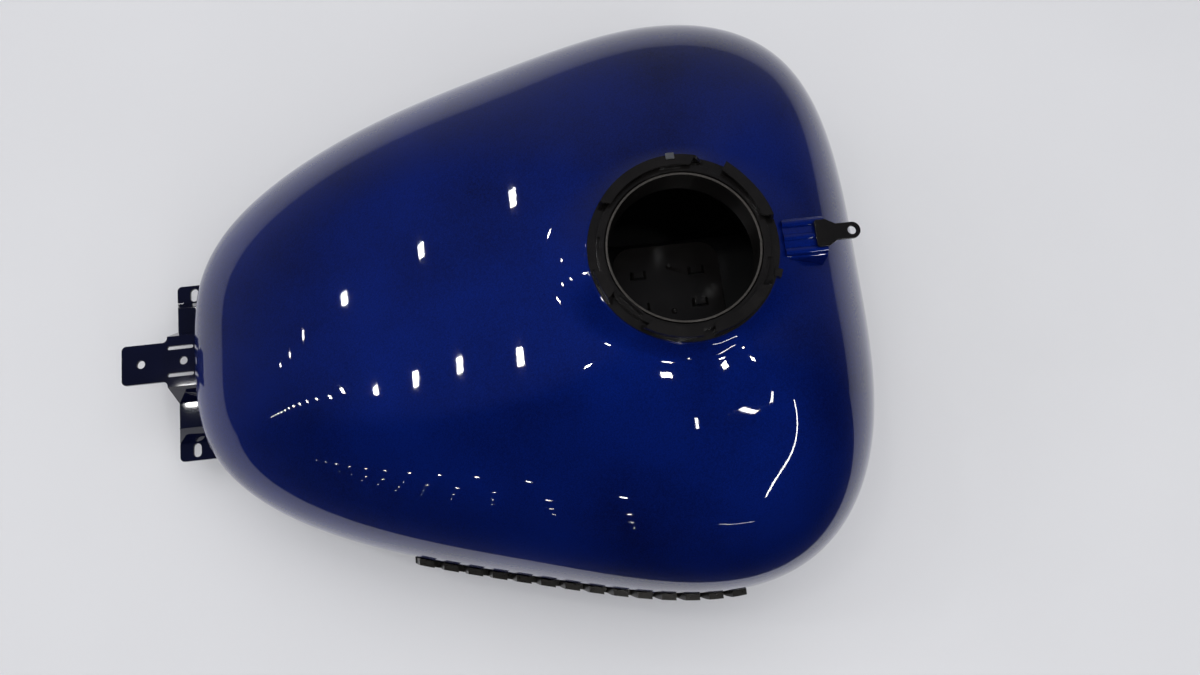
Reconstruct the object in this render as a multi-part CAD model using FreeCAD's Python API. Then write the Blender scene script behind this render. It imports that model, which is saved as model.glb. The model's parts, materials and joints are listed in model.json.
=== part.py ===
"""Motorcycle fuel tank: painted steel shell over a frame tunnel, with a hook-ring neck, a turning lock
ring, console and rear brackets, rubber front mounts, slosh baffles and raised side trim.

Millimetres. The tank is drawn with x = 0 at its rear datum, +X to the front, +Y to the rider's left and
Z = 0 on the bottom seam; each piece is moved at the end so that the origin is under the middle of the box.
"""
import FreeCAD, Part
import math
import os

V = FreeCAD.Vector

# shell, seen from above
SHELL_FRONT = 570.0
SHELL_REAR = 12.0
SHELL_WIDTH = 480.0
FRONT_SQUARENESS = 2.85
REAR_SQUARENESS = 3.2
PLAN_TAPER = 0.345
PLAN_BULGE = 0.03
SHELL_SHEET = 1.2
SHELL_MIDDLE = (SHELL_FRONT + SHELL_REAR) / 2
SHELL_HALF = (SHELL_FRONT - SHELL_REAR) / 2

# shell, seen from the side
REAR_WIDEST_Z = 78.0
FRONT_WIDEST_Z = 104.0
REAR_CROWN_Z = 130.0
FRONT_CROWN_Z = 252.0
CROWN_X = 422.0
CROWN_RISE_POWER = 1.2
CROWN_FALL = 0.0009
SHOULDER_REAR = 125.0
SHOULDER_SIDE = 240.0
SHOULDER_FRONT = 105.0
SHOULDER_GROWTH = 1.3
SHOULDER_POWER = 2.4
TUCK_ENDS = 50.0
TUCK_SIDES = 80.0
TUCK_SWEEP = math.radians(68.0)

# skin construction
OUTLINE_STEPS = 4800
RING_POINTS = 96
TOP_RINGS = 18
RING_CROWDING = 2.2
RING_START = 1.25
TUCK_RINGS = 6
SEAM_OVERRUN = 8.0

# neck
NECK_X = 412.0
NECK_BORE_R = 53.0
NECK_COLLAR_WALL = 2.0
NECK_COLLAR_DEPTH = 18.0
NECK_SEAT_WIDTH = 8.5
NECK_SEAT_R = NECK_BORE_R + NECK_SEAT_WIDTH
NECK_SEAT_RISE = 3.5
NECK_LIP_RISE = 2.2
NECK_STEP = 2.5
NECK_HOLE_R = NECK_SEAT_R + NECK_STEP
NECK_FLANGE_SHEET = 3.0
NECK_LAND_RISE = 2.0
NECK_LAND_Z = FRONT_CROWN_Z + NECK_LAND_RISE
NECK_LAND_WIDTH = 4.5
NECK_LAND_R = NECK_HOLE_R + NECK_LAND_WIDTH
LAND_RINGS = [NECK_HOLE_R - 7.0, NECK_HOLE_R - 3.0, NECK_LAND_R - 1.0]
BOSS_FLARE = 34.0
BOSS_RINGS = [0.07, 0.17, 0.3, 0.48, 0.72, 1.0]
BOSS_POWER = 2.4

# hook ring on the neck
HOOK_WALL_OUT = 4.5
HOOK_OUTER_R = NECK_SEAT_R + HOOK_WALL_OUT
HOOK_BASE_EDGE = 1.5
HOOK_BASE_R = HOOK_OUTER_R + HOOK_BASE_EDGE
HOOK_BASE_SHEET = 2.5
HOOK_SHEET = 2.2
HOOK_RISE = 11.5
HOOK_REACH = 7.4
HOOK_REACH_R = HOOK_OUTER_R - HOOK_REACH
HOOK_ARCS = [(79.0, 144.0), (15.0, 57.0), (-77.0, -36.0), (-119.0, -88.0), (-166.0, -152.0)]
FREE_ARM = (32.0, 57.0)
FREE_ARM_GAP = 1.6
SIDE_TAB_AT = -22.0
SIDE_TAB_WIDTH = 6.0
SIDE_TAB_REACH = 3.0
SIDE_TAB_RISE = 2.0
LOCATOR_AT = 92.0
LOCATOR_WIDTH = 6.0
LOCATOR_LENGTH = 4.5
LOCATOR_SHEET = 1.4
LOCATOR_OVERHANG = 1.0

# lock ring under the hooks
LOCK_CLEARANCE = 0.6
LOCK_INNER_R = NECK_BORE_R + NECK_COLLAR_WALL + LOCK_CLEARANCE
LOCK_OUTER_R = NECK_SEAT_R - LOCK_CLEARANCE
LOCK_SHEET = 2.0
LOCK_LIFT = 0.4
LOCK_LOBES = [92.0, 25.0, -106.0]
LOCK_LOBE_ARC = 15.0
LOCK_LOBE_R = HOOK_OUTER_R - HOOK_SHEET - LOCK_CLEARANCE
LOCK_LOBE_GAP = 0.8
LOCK_BAR_AT = -138.0
LOCK_BAR_LENGTH = 21.0
LOCK_BAR_SHEET = 1.2
LOCK_BAR_RISE = 6.0
LOCK_BAR_INSET = 0.4
LOCK_NOTCHES = [-18.0, 62.0, 118.0, 172.0, -62.0]
LOCK_NOTCH_WIDTH = 9.0
LOCK_NOTCH_DEPTH = 2.2

# bottom pan and frame tunnel
PAN_SHEET = 1.2
TUNNEL_BASE_HALF = 66.0
TUNNEL_TOP_HALF = 44.0
TUNNEL_REAR_Z = 74.0
TUNNEL_FLAT_Z = 150.0
TUNNEL_FLAT_X = 350.0
TUNNEL_CORNER_R = 26.0
TUNNEL_OVERRUN = 60.0

# pump foot plate on the tunnel
FOOT_LENGTH = 86.0
FOOT_WIDTH = 74.0
FOOT_SHEET = 1.5
FOOT_CORNER_R = 16.0
BRIDGE_SPACING_X = 47.0
BRIDGE_SPACING_Y = 26.5
BRIDGE_LENGTH = 13.0
BRIDGE_WIDTH = 7.0
BRIDGE_RISE = 3.4
BRIDGE_SHEET = 1.2
BRIDGE_SIDE_GAP = 1.0
BRIDGE_LAP = 1.0
BRIDGE_RAMP = 3.0
BRIDGE_BEND_R = 1.6
BRIDGE_INNER_BEND_R = 0.8
WELD_DIMPLE_R = 2.4
WELD_DIMPLE_DEPTH = 0.6
WELD_DIMPLE_X = NECK_X + 2.0
WELD_DIMPLE_Y = 18.5

# console saddle and tab, in front of the neck
SADDLE_GAP = 4.0
SADDLE_LENGTH = 30.0
SADDLE_WIDTH = 38.0
SADDLE_SHEET = 1.6
SADDLE_ABOVE_LAND = 1.0
SADDLE_TOP_Z = NECK_LAND_Z + SADDLE_ABOVE_LAND
SADDLE_RIBS = 3
SADDLE_RIB_WIDTH = 6.0
SADDLE_RIB_SPACING = 10.2
SADDLE_RIB_RISE = 2.2
SADDLE_ARCH = 3.0
SADDLE_SKIRT = 40.0
SADDLE_LEAN = 4.0
SADDLE_EDGE_R = 3.5
SADDLE_CROWN_R = 30.0
TAB_ROOT_WIDTH = 20.0
TAB_WIDTH = 12.0
TAB_TAPER = 7.0
TAB_REACH = 24.0
TAB_UNDERLAP = 8.0
TAB_CORNER_R = 2.0
TAB_END_FLAT = 0.1
TAB_SHEET = 2.5
TAB_HOLE_R = 3.1

# rear bracket, stepped over the tunnel's mouth
REAR_SHEET = 2.5
EAR_Z = 40.0
EAR_BEYOND_TUNNEL = 14.0
EAR_HALF = TUNNEL_BASE_HALF + EAR_BEYOND_TUNNEL
STEP_Z = 60.0
STEP_INSIDE_TUNNEL = 12.0
STEP_HALF = TUNNEL_BASE_HALF - STEP_INSIDE_TUNNEL
TOP_ABOVE_TUNNEL = 11.0
TOP_Z = TUNNEL_REAR_Z + TOP_ABOVE_TUNNEL
TOP_HALF = 22.0
EAR_RISE_RUN = 10.0
TOP_RISE_RUN = 10.0
BRACKET_LAP = 34.0
EAR_REACH = 32.0
WAIST_REACH = 24.0
TONGUE_REACH = 62.0
TONGUE_END = SHELL_REAR - TONGUE_REACH
TONGUE_WIDTH = 34.0
TONGUE_CORNER_R = 4.0
TONGUE_HOLE_R = 3.5
TONGUE_HOLE_SPACING = 35.5
TONGUE_HOLE_INSET = 16.0
EAR_SLOT_LENGTH = 12.0
EAR_SLOT_WIDTH = 7.0
EAR_SLOT_INSET = 9.0
EAR_SLOT_HALF = EAR_HALF - EAR_SLOT_INSET
EAR_SLOT_REACH = 17.0
EAR_SLOT_X = SHELL_REAR - EAR_SLOT_REACH
ROOT_SLOT_LENGTH = 22.0
ROOT_SLOT_WIDTH = 3.2
ROOT_SLOT_HALF = 11.8
ROOT_SLOT_REACH = 13.0
ROOT_SLOT_X = SHELL_REAR - ROOT_SLOT_REACH
SLOT_CUTTER = 20.0

# front mounts: shelves in the tunnel's mouth that sit on the frame's pegs
MOUNT_SHEET = 3.0
MOUNT_LENGTH = 42.0
MOUNT_HEIGHT = 40.0
MOUNT_SHELF_Z = 16.0
MOUNT_CORNER_R = 10.0
MOUNT_HOLE_INSET = 38.0
MOUNT_HOLE_EDGE = 2.5
GROMMET_OUTER_R = 12.5
GROMMET_NECK_R = 9.5
GROMMET_LIP = 3.5
GROMMET_BEVEL = 1.0
SLEEVE_OUTER_R = 6.0
SLEEVE_BORE_R = 4.2
SLEEVE_PROUD = 1.0

# front pegs
PEG_Y = 90.0
PEG_Z = 92.0
PEG_R = 3.0
PEG_PROUD = 9.0
PEG_SUNK = 40.0
PEG_HEAD_R = 4.2
PEG_HEAD = 2.5

# slosh baffles, one in each lobe
BAFFLE_X = 250.0
BAFFLE_SHEET = 1.2
BAFFLE_HEIGHT = 78.0
BAFFLE_OFFSET = 8.0
BAFFLE_GAP = 7.0
BAFFLE_FOOT = 14.0
BAFFLE_HOLE_R = 11.0
BAFFLE_CORNER_R = 14.0

# raised side trim
TRIM_REAR = 184.0
TRIM_BARS = 14
TRIM_PITCH = 19.0
TRIM_BAR_WIDTH = 11.5
TRIM_LOW_Z = 76.0
TRIM_HEIGHT = 21.0
TRIM_RAIL_HEIGHT = 4.0
TRIM_SLANT = 6.0
TRIM_TAPE = 0.9
TRIM_DEPTH = 5.0
TRIM_TAPE_INSET = 1.5

# half the side of the blocks that trim pieces, larger than any piece
REACH = 1000.0


def signed_power(value, power):
    return math.copysign(abs(value) ** power, value)


def plan_at(turn):
    """A point of the widest outline, before its width is set."""
    c, s = math.cos(turn), math.sin(turn)
    square = FRONT_SQUARENESS if c > 0 else REAR_SQUARENESS
    along = signed_power(c, 2 / square)
    across = signed_power(s, 2 / square) * (1 + PLAN_TAPER * along + PLAN_BULGE * along * along)
    return along, across


def plan_outline():
    """RING_POINTS places round the widest outline, evenly spaced along it."""
    fine = [plan_at(2 * math.pi * (k + 0.5) / OUTLINE_STEPS) for k in range(OUTLINE_STEPS)]
    widest = max(across for _, across in fine)
    line = [(SHELL_MIDDLE + SHELL_HALF * along, across * SHELL_WIDTH / 2 / widest) for along, across in fine]
    steps = [math.dist(line[k - 1], line[k]) for k in range(len(line))]
    total = sum(steps)
    found = []
    walked = 0.0
    for k, step in enumerate(steps):
        while len(found) < RING_POINTS and walked + step >= total * (len(found) + 0.5) / RING_POINTS:
            part = (total * (len(found) + 0.5) / RING_POINTS - walked) / step
            before, here = line[k - 1], line[k]
            found.append(tuple(b + (h - b) * part for b, h in zip(before, here)))
        walked += step
    return found


def crown_z(x):
    """Height of the ridge line, rising to CROWN_X and falling a little in front of it."""
    rise = math.sin(min(max(x / CROWN_X, 0.0), 1.0) * math.pi / 2) ** CROWN_RISE_POWER
    return REAR_CROWN_Z + (FRONT_CROWN_Z - REAR_CROWN_Z) * rise - CROWN_FALL * max(0.0, x - CROWN_X) ** 2


def widest_z(x):
    return REAR_WIDEST_Z + (FRONT_WIDEST_Z - REAR_WIDEST_Z) * x / SHELL_FRONT


def shoulder_radius(x, facing):
    """How far in from the outline the shoulder runs before the top is flat."""
    grown = min(1.0, max(0.0, SHOULDER_GROWTH * x / SHELL_FRONT))
    side = SHOULDER_REAR + (SHOULDER_SIDE - SHOULDER_REAR) * grown
    ahead = max(0.0, facing) ** 2
    return side * (1 - ahead) + SHOULDER_FRONT * ahead


def boss_share(radius):
    """1 on the flat land round the neck, falling to 0 across the flare."""
    beyond = (radius - NECK_LAND_R) / BOSS_FLARE
    return min(1.0, max(0.0, 1 - beyond)) ** BOSS_POWER


def top_point(edge, facing, inward):
    """A point of the top, at a distance inward from the outline towards the neck."""
    x0, y0 = edge
    away = math.hypot(x0 - NECK_X, y0)
    share = inward / away
    x, y = x0 + (NECK_X - x0) * share, y0 * (1 - share)
    low = widest_z(x0)
    curl = min(1.0, inward / shoulder_radius(x0, facing))
    lift = (1 - (1 - curl) ** SHOULDER_POWER) ** (1 / SHOULDER_POWER)
    z = low + (crown_z(x) - low) * lift
    return V(x, y, z + (NECK_LAND_Z - z) * boss_share(away - inward))


def tuck_point(edge, share):
    """A point below the widest outline, curling in to the bottom seam at share 1."""
    x0, y0 = edge
    sweep = TUCK_SWEEP * share
    inset = (1 - math.cos(sweep)) / (1 - math.cos(TUCK_SWEEP))
    x = SHELL_MIDDLE + (x0 - SHELL_MIDDLE) * (1 - TUCK_ENDS / SHELL_HALF * inset)
    y = y0 * (1 - 2 * TUCK_SIDES / SHELL_WIDTH * inset)
    return V(x, y, widest_z(x0) * (1 - math.sin(sweep) / math.sin(TUCK_SWEEP)))


def meridian(edge, facing):
    """Points from the neck land, over the shoulder and down past the bottom seam."""
    away = math.hypot(edge[0] - NECK_X, edge[1])
    radii = LAND_RINGS + [NECK_LAND_R + BOSS_FLARE * step for step in BOSS_RINGS]
    points = [top_point(edge, facing, away - radius) for radius in radii]
    flare_edge = away - radii[-1]
    for k in range(1, TOP_RINGS + 1):
        left = 1 - (k / TOP_RINGS) ** RING_START
        points.append(top_point(edge, facing, flare_edge * left ** RING_CROWDING))
    points += [tuck_point(edge, k / TUCK_RINGS) for k in range(1, TUCK_RINGS + 1)]
    down = points[-1] - points[-2]
    points.append(points[-1] + down * (SEAM_OVERRUN / -down.z))
    return points


def skin_rings():
    edges = plan_outline()
    columns = []
    for k, edge in enumerate(edges):
        ahead, behind = edges[(k + 1) % len(edges)], edges[k - 1]
        run = (ahead[0] - behind[0], ahead[1] - behind[1])
        columns.append(meridian(edge, run[1] / math.hypot(*run)))
    return [list(ring) for ring in zip(*columns)]


def smooth_surface(rings):
    """A surface through closed rings of points: closed curves one way, open curves the other."""
    count = len(rings[0])
    turns = [float(k) for k in range(count + 1)]
    runs = []
    for ring in rings:
        curve = Part.BSplineCurve()
        curve.interpolate(Points=ring, PeriodicFlag=True, Parameters=turns)
        runs.append(curve)
    poles = [curve.getPoles() for curve in runs]
    heights = [float(k) for k in range(len(rings))]
    columns = []
    for k in range(len(poles[0])):
        curve = Part.BSplineCurve()
        curve.interpolate(Points=[row[k] for row in poles], Parameters=heights)
        columns.append(curve)
    surface = Part.BSplineSurface()
    surface.buildFromPolesMultsKnots(
        [curve.getPoles() for curve in columns],
        runs[0].getMultiplicities(), columns[0].getMultiplicities(),
        runs[0].getKnots(), columns[0].getKnots(),
        True, False, 3, 3)
    return surface


def offset_rings(rings, surface, distance):
    """The rings moved out along the surface's normal, with both end rings kept flat."""
    moved = []
    for j, ring in enumerate(rings):
        row = []
        for k, point in enumerate(ring):
            normal = surface.normal(float(k), float(j))
            out = V(point.x - SHELL_MIDDLE, point.y, point.z - REAR_WIDEST_Z)
            normal = normal * (1.0 if normal.dot(out) > 0 else -1.0)
            row.append(point + normal * distance)
        moved.append(row)
    top = NECK_LAND_Z + distance
    for k, point in enumerate(rings[0]):
        moved[0][k] = V(point.x, point.y, top)
    for k, point in enumerate(moved[-1]):
        moved[-1][k] = V(point.x, point.y, -SEAM_OVERRUN)
    return moved


def closed_body(surface):
    """The solid inside a skin, closed by a flat face at the neck and one at the bottom."""
    skin = surface.toShape()
    rims = [Part.Wire([edge]) for edge in skin.Edges if edge.isClosed()]
    flats = [Part.Face(rim) for rim in rims]
    shell = Part.makeShell([skin] + flats)
    shell.sewShape()
    solid = Part.makeSolid(shell)
    solid.fix(0.001, 0.001, 0.001)
    return solid


def slab(low, high):
    """A block wider and longer than the tank, between two heights."""
    return Part.makeBox(2 * REACH, 2 * REACH, high - low, V(-REACH, -REACH, low))


def bodies_at(offsets):
    """The tank's outer form grown by each offset, cut level with the bottom seam."""
    rings = skin_rings()
    surface = smooth_surface(rings)
    below = slab(-REACH, 0)
    bodies = []
    for offset in offsets:
        skin = smooth_surface(offset_rings(rings, surface, offset)) if offset else surface
        bodies.append(closed_body(skin).cut(below))
    return bodies


def rounded_wire(corners, radii):
    """A closed wire through corners (vectors), each rounded by its own radius (0 leaves it sharp)."""
    count = len(corners)
    starts, ends, middles = [], [], []
    for k, corner in enumerate(corners):
        back = (corners[k - 1] - corner).normalize()
        on = (corners[(k + 1) % count] - corner).normalize()
        if radii[k] == 0:
            starts.append(corner)
            ends.append(corner)
            middles.append(None)
            continue
        half = back.getAngle(on) / 2
        along = radii[k] / math.tan(half)
        centre = corner + (back + on).normalize() * (radii[k] / math.sin(half))
        starts.append(corner + back * along)
        ends.append(corner + on * along)
        middles.append(centre + (corner - centre).normalize() * radii[k])
    edges = []
    for k in range(count):
        if middles[k] is not None:
            edges.append(Part.Arc(starts[k], middles[k], ends[k]).toShape())
        following = starts[(k + 1) % count]
        if ends[k].distanceToPoint(following) > 1e-6:
            edges.append(Part.makeLine(ends[k], following))
    return Part.Wire(edges)


def plate(corners, radii, rise):
    return Part.Face(rounded_wire(corners, radii)).extrude(rise)


def ring_solid(inner, outer, low, high, start=0.0, sweep=360.0):
    """Part of a flat ring about the neck axis; angles in degrees from +X."""
    face = Part.Face(Part.makePolygon([
        V(inner, 0, low), V(outer, 0, low), V(outer, 0, high), V(inner, 0, high), V(inner, 0, low)]))
    turned = face.revolve(V(0, 0, 0), V(0, 0, 1), sweep)
    turned.rotate(V(0, 0, 0), V(0, 0, 1), start)
    turned.translate(V(NECK_X, 0, 0))
    return turned


def turned_solid(profile):
    """A solid turned about the neck axis from (radius, height) corners."""
    corners = [V(radius, 0, z) for radius, z in profile]
    face = Part.Face(Part.makePolygon(corners + corners[:1]))
    turned = face.revolve(V(0, 0, 0), V(0, 0, 1), 360)
    turned.translate(V(NECK_X, 0, 0))
    return turned


def at_neck(shape, angle):
    """A shape drawn along +X from the neck axis, turned to an angle."""
    placed = shape.copy()
    placed.rotate(V(0, 0, 0), V(0, 0, 1), angle)
    placed.translate(V(NECK_X, 0, 0))
    return placed


def mirrored(shape):
    return shape.mirror(V(0, 0, 0), V(0, 1, 0))


def tunnel_section(x, top, inset):
    """The tunnel's arch across the tank, open downward past the seam."""
    base, crown = TUNNEL_BASE_HALF - inset, TUNNEL_TOP_HALF - inset
    high, low = top - inset, -SEAM_OVERRUN
    corners = [V(x, -base, low), V(x, -crown, high), V(x, crown, high), V(x, base, low)]
    corner = TUNNEL_CORNER_R - inset
    return rounded_wire(corners, [0, corner, corner, 0])


def tunnel_block(inset):
    """The solid under the tunnel sheet's outer face, or its inner face for a full sheet inset."""
    rise = (TUNNEL_FLAT_Z - TUNNEL_REAR_Z) / (TUNNEL_FLAT_X - SHELL_REAR)
    rear = SHELL_REAR - TUNNEL_OVERRUN
    sections = [
        tunnel_section(rear, TUNNEL_REAR_Z - rise * TUNNEL_OVERRUN, inset),
        tunnel_section(TUNNEL_FLAT_X, TUNNEL_FLAT_Z, inset),
        tunnel_section(SHELL_FRONT + TUNNEL_OVERRUN, TUNNEL_FLAT_Z, inset)]
    return Part.makeLoft(sections, True, True)


def outer_shell(body, hollow, block):
    hole = Part.makeCylinder(NECK_HOLE_R, REACH, V(NECK_X, 0, TUNNEL_FLAT_Z))
    return body.cut(hollow).cut(block).cut(hole)


def tunnel_pan(body, hollow, block, bore):
    floor = slab(0, PAN_SHEET).common(hollow).cut(block)
    arch = block.cut(bore).common(body).common(slab(0, REACH))
    return floor.fuse(arch).removeSplitter()


def neck_ring():
    seat = NECK_LAND_Z + NECK_SEAT_RISE
    lip_r = NECK_BORE_R + NECK_COLLAR_WALL
    under = NECK_LAND_Z - NECK_FLANGE_SHEET
    return turned_solid([
        (NECK_BORE_R, under - NECK_COLLAR_DEPTH), (lip_r, under - NECK_COLLAR_DEPTH), (lip_r, under),
        (NECK_HOLE_R, under), (NECK_HOLE_R, NECK_LAND_Z), (NECK_SEAT_R, NECK_LAND_Z), (NECK_SEAT_R, seat),
        (lip_r, seat), (lip_r, seat + NECK_LIP_RISE), (NECK_BORE_R, seat + NECK_LIP_RISE)])


def hook_ring():
    base_top = NECK_LAND_Z + HOOK_BASE_SHEET
    top = NECK_LAND_Z + HOOK_RISE
    ring = ring_solid(NECK_SEAT_R, HOOK_BASE_R, NECK_LAND_Z, base_top)
    wall_r = HOOK_OUTER_R - HOOK_SHEET
    for start, end in HOOK_ARCS:
        ring = ring.fuse(ring_solid(wall_r, HOOK_OUTER_R, base_top, top, start, end - start))
        ring = ring.fuse(ring_solid(HOOK_REACH_R, HOOK_OUTER_R, top - HOOK_SHEET, top, start, end - start))
    start, end = FREE_ARM
    gap = ring_solid(wall_r - 1, HOOK_OUTER_R + 1, base_top, base_top + FREE_ARM_GAP, start, end - start + 2)
    ring = ring.cut(gap)
    tab = Part.makeBox(SIDE_TAB_REACH + HOOK_SHEET, SIDE_TAB_WIDTH, HOOK_BASE_SHEET + SIDE_TAB_RISE,
                       V(HOOK_BASE_R - HOOK_SHEET, -SIDE_TAB_WIDTH / 2, NECK_LAND_Z))
    return ring.fuse(at_neck(tab, SIDE_TAB_AT)).removeSplitter()


def locator_tab():
    """A small plate on top of one hook that keys the pump cover."""
    inner = HOOK_OUTER_R + LOCATOR_OVERHANG - LOCATOR_LENGTH
    corner = V(inner, -LOCATOR_WIDTH / 2, NECK_LAND_Z + HOOK_RISE)
    return at_neck(Part.makeBox(LOCATOR_LENGTH, LOCATOR_WIDTH, LOCATOR_SHEET, corner), LOCATOR_AT)


def lock_ring():
    low = NECK_LAND_Z + NECK_SEAT_RISE + LOCK_LIFT
    high = low + LOCK_SHEET
    lobe_top = NECK_LAND_Z + HOOK_RISE - HOOK_SHEET - LOCK_LOBE_GAP
    ring = ring_solid(LOCK_INNER_R, LOCK_OUTER_R, low, high)
    for angle in LOCK_NOTCHES:
        notch = Part.makeBox(LOCK_NOTCH_DEPTH + 1, LOCK_NOTCH_WIDTH, LOCK_SHEET,
                             V(LOCK_OUTER_R - LOCK_NOTCH_DEPTH, -LOCK_NOTCH_WIDTH / 2, low))
        ring = ring.cut(at_neck(notch, angle))
    for angle in LOCK_LOBES:
        lobe = ring_solid(HOOK_REACH_R, LOCK_LOBE_R, low, lobe_top, angle - LOCK_LOBE_ARC / 2, LOCK_LOBE_ARC)
        ring = ring.fuse(lobe)
    bar = Part.makeBox(LOCK_BAR_SHEET, LOCK_BAR_LENGTH, LOCK_SHEET + LOCK_BAR_RISE,
                       V(LOCK_INNER_R + LOCK_BAR_INSET, -LOCK_BAR_LENGTH / 2, low))
    return ring.fuse(at_neck(bar, LOCK_BAR_AT)).removeSplitter()


def bridge(corner):
    """One lanced bridge of the foot plate, over the window whose lowest corner is given."""
    near, far = corner.x - BRIDGE_LAP, corner.x + BRIDGE_LENGTH + BRIDGE_LAP
    y, low = corner.y + BRIDGE_SIDE_GAP, corner.z
    top = low + FOOT_SHEET + BRIDGE_RISE
    under, step = top - BRIDGE_SHEET, BRIDGE_SHEET
    outer = rounded_wire(
        [V(near, y, low), V(near + BRIDGE_RAMP, y, top), V(far - BRIDGE_RAMP, y, top), V(far, y, low)],
        [0, BRIDGE_BEND_R, BRIDGE_BEND_R, 0])
    inner = rounded_wire(
        [V(near + step, y, low), V(near + BRIDGE_RAMP + step, y, under),
         V(far - BRIDGE_RAMP - step, y, under), V(far - step, y, low)],
        [0, BRIDGE_INNER_BEND_R, BRIDGE_INNER_BEND_R, 0])
    across = V(0, BRIDGE_WIDTH - 2 * BRIDGE_SIDE_GAP, 0)
    return Part.Face(outer).extrude(across).cut(Part.Face(inner).extrude(across))


def foot_plate():
    """The plate on the tunnel that holds the pump's foot: four lanced bridges and two spot welds."""
    half_x, half_y = FOOT_LENGTH / 2, FOOT_WIDTH / 2
    z = TUNNEL_FLAT_Z
    corners = [V(NECK_X + sx * half_x, sy * half_y, z) for sx, sy in ((-1, -1), (1, -1), (1, 1), (-1, 1))]
    flat = plate(corners, [FOOT_CORNER_R] * 4, V(0, 0, FOOT_SHEET))
    for sx in (-1, 1):
        for sy in (-1, 1):
            x, y = NECK_X + sx * BRIDGE_SPACING_X / 2, sy * BRIDGE_SPACING_Y / 2
            corner = V(x - BRIDGE_LENGTH / 2, y - BRIDGE_WIDTH / 2, z)
            window = Part.makeBox(BRIDGE_LENGTH, BRIDGE_WIDTH, FOOT_SHEET, corner)
            flat = flat.cut(window).fuse(bridge(corner))
    ball_r = (WELD_DIMPLE_R ** 2 + WELD_DIMPLE_DEPTH ** 2) / (2 * WELD_DIMPLE_DEPTH)
    for sy in (-1, 1):
        centre = V(WELD_DIMPLE_X, sy * WELD_DIMPLE_Y, z + FOOT_SHEET + ball_r - WELD_DIMPLE_DEPTH)
        flat = flat.cut(Part.makeSphere(ball_r, centre))
    return flat.removeSplitter()


def saddle_rear():
    return NECK_X + HOOK_BASE_R + SADDLE_GAP


def saddle_fold(inset):
    """The saddle's solid form, or the hollow under its sheet for a full sheet inset."""
    x, half = saddle_rear(), SADDLE_WIDTH / 2 - inset
    foot, top = SADDLE_TOP_Z - SADDLE_SKIRT, SADDLE_TOP_Z - inset
    eave = top - SADDLE_ARCH
    corners = [V(x, -half, foot), V(x, SADDLE_LEAN - half, eave), V(x, 0, top),
               V(x, half - SADDLE_LEAN, eave), V(x, half, foot)]
    edge, crown = SADDLE_EDGE_R - inset, SADDLE_CROWN_R - inset
    return plate(corners, [0, edge, crown, edge, 0], V(SADDLE_LENGTH, 0, 0))


def front_saddle(body):
    """A stamped bridge with ribs along it, welded to the shell in front of the neck."""
    outer = saddle_fold(0)
    rib_r = SADDLE_RIB_WIDTH / 2
    for k in range(SADDLE_RIBS):
        y = (k - (SADDLE_RIBS - 1) / 2) * SADDLE_RIB_SPACING
        start = V(saddle_rear(), y, tab_z() - rib_r)
        outer = outer.fuse(Part.makeCylinder(rib_r, SADDLE_LENGTH, start, V(1, 0, 0)))
    return outer.cut(saddle_fold(SADDLE_SHEET)).cut(body).removeSplitter()


def tab_z():
    """Underside of the console tab, which lies on top of the saddle's crown."""
    return SADDLE_TOP_Z - SADDLE_ARCH / 2 + SADDLE_RIB_RISE


def front_tab():
    start = saddle_rear() + SADDLE_LENGTH - TAB_UNDERLAP
    root = saddle_rear() + SADDLE_LENGTH
    end = root + TAB_REACH
    z = tab_z()
    wide, slim = TAB_ROOT_WIDTH / 2, TAB_WIDTH / 2
    right = [V(start, -wide, z), V(root, -wide, z), V(root + TAB_TAPER, -slim, z), V(end, -slim, z)]
    corners = right + [V(point.x, -point.y, z) for point in reversed(right)]
    root_r, end_r = TAB_CORNER_R, slim - TAB_END_FLAT
    blank = plate(corners, [root_r] * 3 + [end_r] * 2 + [root_r] * 3, V(0, 0, TAB_SHEET))
    hole = Part.makeCylinder(TAB_HOLE_R, TAB_SHEET, V(end - slim, 0, z))
    return blank.cut(hole)


def slot(x, y, length, width, level, turned=False):
    """A tall cutter with round ends for a slot along X, or along Y when turned."""
    half, low = (length - width) / 2, level - SLOT_CUTTER / 2
    cutter = Part.makeBox(2 * half, width, SLOT_CUTTER, V(-half, -width / 2, 0))
    for end in (-half, half):
        cutter = cutter.fuse(Part.makeCylinder(width / 2, SLOT_CUTTER, V(end, 0, 0)))
    if turned:
        cutter.rotate(V(0, 0, 0), V(0, 0, 1), 90)
    cutter.translate(V(x, y, low))
    return cutter


def bracket_profile(lift):
    """Half of the rear bracket's cross section, from the centre line out to the ear's edge."""
    return [(0, TOP_Z + lift), (TOP_HALF, TOP_Z + lift), (TOP_HALF + TOP_RISE_RUN, STEP_Z + lift),
            (STEP_HALF, STEP_Z + lift), (STEP_HALF + EAR_RISE_RUN, EAR_Z + lift), (EAR_HALF, EAR_Z + lift)]


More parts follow.
